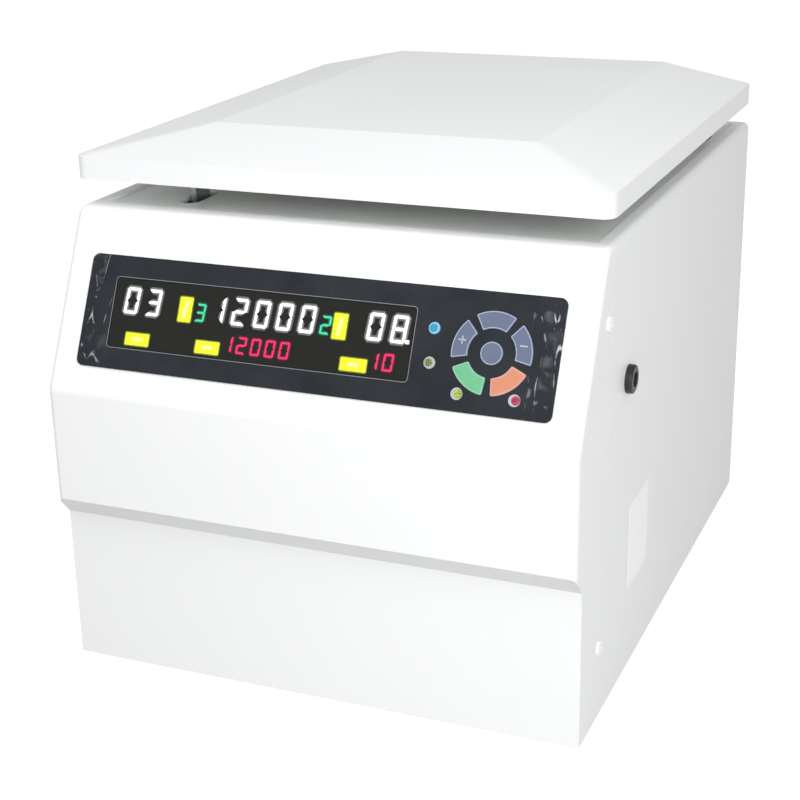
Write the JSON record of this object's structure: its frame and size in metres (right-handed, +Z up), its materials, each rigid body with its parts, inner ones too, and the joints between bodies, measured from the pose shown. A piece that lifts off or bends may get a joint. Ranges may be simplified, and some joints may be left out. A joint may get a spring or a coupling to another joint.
{
  "type": "high-speed centrifuge",
  "caption": "Bench-top high-speed centrifuge: folded steel housing with a sloped display and key panel, hinged hipped lid, chamber with swing-out rotor.",
  "frame": {"origin": "centre of the underside, on the surface that the rubber feet stand on", "axes": "+X to the right as seen from the front, +Y to the back, +Z up"},
  "size_m": [0.3868, 0.4923, 0.3817],
  "materials": {
    "body_white": "fine-textured powder coat",
    "lid_white": "fine-textured powder coat",
    "liner_white": "smooth paint",
    "deck_grey": "smooth paint",
    "plain_steel": "zinc-plated sheet",
    "screw_steel": "plated",
    "shaft_steel": "ground",
    "bowl_steel": "spun stainless",
    "guard_steel": "primer",
    "motor_iron": "black enamel",
    "rotor_aluminium": "anodised",
    "drive_aluminium": "extruded",
    "foot_rubber": "matt",
    "seal_rubber": "matt",
    "black_plastic": "moulded",
    "strut_black": "gloss paint",
    "panel_film": "satin film",
    "window_film": "gloss film",
    "board_green": "solder mask",
    "lamp_green": "clear",
    "lamp_red": "clear",
    "key_grey": "satin film",
    "key_green": "satin film",
    "key_orange": "satin film",
    "key_blue": "satin film",
    "key_yellow": "satin film",
    "rocker_red": "moulded"
  },
  "bodies": {
    "root": {"front_cover": "body_white", "main_cover": "body_white", "base_plate": "plain_steel", "feet": "foot_rubber", "cover_screws": "screw_steel", "deck_plate": "deck_grey", "chamber_bowl": "bowl_steel", "chamber_seal": "seal_rubber", "guard_ring": "guard_steel", "motor_mounts": "foot_rubber", "motor_plate": "plain_steel", "motor_body": "motor_iron", "motor_boot": "seal_rubber", "hinge_bases": "plain_steel", "hinge_pins": "shaft_steel", "strut_anchors": "plain_steel", "lock_frame": "plain_steel", "release_bushing": "black_plastic", "lock_solenoid": "black_plastic", "panel_overlay": "panel_film", "display_window": "window_film", "display_board": "board_green", "lamp_lens_green": "lamp_green", "lamp_lens_red": "lamp_red", "control_board": "board_green", "motor_drive": "drive_aluminium", "rear_panel": "body_white", "fan_frame": "black_plastic", "fan_guard": "plain_steel", "power_inlet": "black_plastic", "power_switch": "black_plastic"},
    "lid": {"lid_shell": "lid_white", "lid_liner": "liner_white", "hinge_leaves": "plain_steel", "lid_striker": "plain_steel", "strut_brackets": "plain_steel"},
    "rotor": {"motor_shaft": "shaft_steel", "rotor_head": "rotor_aluminium", "rotor_nut": "shaft_steel"},
    "bucket_1": {"bucket_1": "rotor_aluminium"},
    "bucket_2": {"bucket_2": "rotor_aluminium"},
    "bucket_3": {"bucket_3": "rotor_aluminium"},
    "bucket_4": {"bucket_4": "rotor_aluminium"},
    "strut_cylinder_left": {"strut_cylinder_left": "strut_black"},
    "strut_rod_left": {"strut_rod_left": "shaft_steel"},
    "strut_cylinder_right": {"strut_cylinder_right": "strut_black"},
    "strut_rod_right": {"strut_rod_right": "shaft_steel"},
    "key_select": {"key_select": "key_grey"},
    "key_increase": {"key_increase": "key_grey"},
    "key_decrease": {"key_decrease": "key_grey"},
    "key_start": {"key_start": "key_green"},
    "key_stop": {"key_stop": "key_orange"},
    "key_enter": {"key_enter": "key_grey"},
    "key_mode": {"key_mode": "key_blue"},
    "key_light": {"key_light": "key_yellow"},
    "switch_rocker": {"switch_rocker": "rocker_red"},
    "fan_rotor": {"fan_rotor": "black_plastic"},
    "lock_pawl": {"lock_pawl": "plain_steel", "release_spindle": "shaft_steel"},
    "lock_plunger": {"lock_plunger": "shaft_steel"}
  },
  "joints": [
    {"name": "lid_hinge", "type": "hinge", "parent": "root", "child": "lid", "pos_m": [0, 0.225, 0.346], "axis": [-1, 0, 0], "range_deg": [0, 75]},
    {"name": "rotor_spin", "type": "hinge", "parent": "root", "child": "rotor", "pos_m": [0, 0.04, 0.2], "axis": [0, 0, 1], "continuous": true},
    {"name": "bucket_1_swing", "type": "hinge", "parent": "rotor", "child": "bucket_1", "pos_m": [0.054, 0.04, 0.2695], "axis": [0, -1, 0], "range_deg": [0, 90]},
    {"name": "bucket_2_swing", "type": "hinge", "parent": "rotor", "child": "bucket_2", "pos_m": [0, 0.094, 0.2695], "axis": [1, 0, 0], "range_deg": [0, 90]},
    {"name": "bucket_3_swing", "type": "hinge", "parent": "rotor", "child": "bucket_3", "pos_m": [-0.054, 0.04, 0.2695], "axis": [0, 1, 0], "range_deg": [0, 90]},
    {"name": "bucket_4_swing", "type": "hinge", "parent": "rotor", "child": "bucket_4", "pos_m": [0, -0.014, 0.2695], "axis": [-1, 0, 0], "range_deg": [0, 90]},
    {"name": "strut_left_swing", "type": "hinge", "parent": "root", "child": "strut_cylinder_left", "pos_m": [-0.165, 0.097, 0.215], "axis": [1, 0, 0], "range_deg": [-0.2, 1.19]},
    {"name": "strut_left_slide", "type": "slide", "parent": "strut_cylinder_left", "child": "strut_rod_left", "axis": [0, 0.5532, 0.8331], "range_m": [-0.0005, 0.05569]},
    {"name": "strut_right_swing", "type": "hinge", "parent": "root", "child": "strut_cylinder_right", "pos_m": [0.165, 0.097, 0.215], "axis": [1, 0, 0], "range_deg": [-0.2, 1.19]},
    {"name": "strut_right_slide", "type": "slide", "parent": "strut_cylinder_right", "child": "strut_rod_right", "axis": [0, 0.5532, 0.8331], "range_m": [-0.0005, 0.05569]},
    {"name": "key_select_press", "type": "slide", "parent": "root", "child": "key_select", "axis": [0, 0.896, -0.4441], "range_m": [0, 0.0008], "stiffness_N_per_m": 1200},
    {"name": "key_increase_press", "type": "slide", "parent": "root", "child": "key_increase", "axis": [0, 0.896, -0.4441], "range_m": [0, 0.0008], "stiffness_N_per_m": 1200},
    {"name": "key_decrease_press", "type": "slide", "parent": "root", "child": "key_decrease", "axis": [0, 0.896, -0.4441], "range_m": [0, 0.0008], "stiffness_N_per_m": 1200},
    {"name": "key_start_press", "type": "slide", "parent": "root", "child": "key_start", "axis": [0, 0.896, -0.4441], "range_m": [0, 0.0008], "stiffness_N_per_m": 1200},
    {"name": "key_stop_press", "type": "slide", "parent": "root", "child": "key_stop", "axis": [0, 0.896, -0.4441], "range_m": [0, 0.0008], "stiffness_N_per_m": 1200},
    {"name": "key_enter_press", "type": "slide", "parent": "root", "child": "key_enter", "axis": [0, 0.896, -0.4441], "range_m": [0, 0.0008], "stiffness_N_per_m": 1200},
    {"name": "key_mode_press", "type": "slide", "parent": "root", "child": "key_mode", "axis": [0, 0.896, -0.4441], "range_m": [0, 0.0008], "stiffness_N_per_m": 1200},
    {"name": "key_light_press", "type": "slide", "parent": "root", "child": "key_light", "axis": [0, 0.896, -0.4441], "range_m": [0, 0.0008], "stiffness_N_per_m": 1200},
    {"name": "switch_rock", "type": "hinge", "parent": "root", "child": "switch_rocker", "pos_m": [0.118, 0.239, 0.112], "axis": [0, 0, 1], "range_deg": [0, 16]},
    {"name": "fan_spin", "type": "hinge", "parent": "root", "child": "fan_rotor", "pos_m": [-0.092, 0.23, 0.1], "axis": [0, 1, 0], "continuous": true},
    {"name": "lock_turn", "type": "hinge", "parent": "root", "child": "lock_pawl", "pos_m": [-0.1255, -0.1325, 0.232], "axis": [-1, 0, 0], "range_deg": [0, 6.4]},
    {"name": "plunger_slide", "type": "slide", "parent": "root", "child": "lock_plunger", "axis": [0, 1, 0], "range_m": [0, 0.0046]}
  ],
  "couplings": [
    {"joint": "bucket_2_swing", "follows": "bucket_1_swing", "ratio": 1},
    {"joint": "bucket_3_swing", "follows": "bucket_1_swing", "ratio": 1},
    {"joint": "bucket_4_swing", "follows": "bucket_1_swing", "ratio": 1},
    {"joint": "strut_left_swing", "follows": "lid_hinge", "ratio": 0.013202},
    {"joint": "strut_left_slide", "follows": "lid_hinge", "m_per_rad": 0.042162},
    {"joint": "strut_right_swing", "follows": "lid_hinge", "ratio": 0.013202},
    {"joint": "strut_right_slide", "follows": "lid_hinge", "m_per_rad": 0.042162},
    {"joint": "plunger_slide", "follows": "lock_turn", "m_per_rad": 0.04}
  ]
}
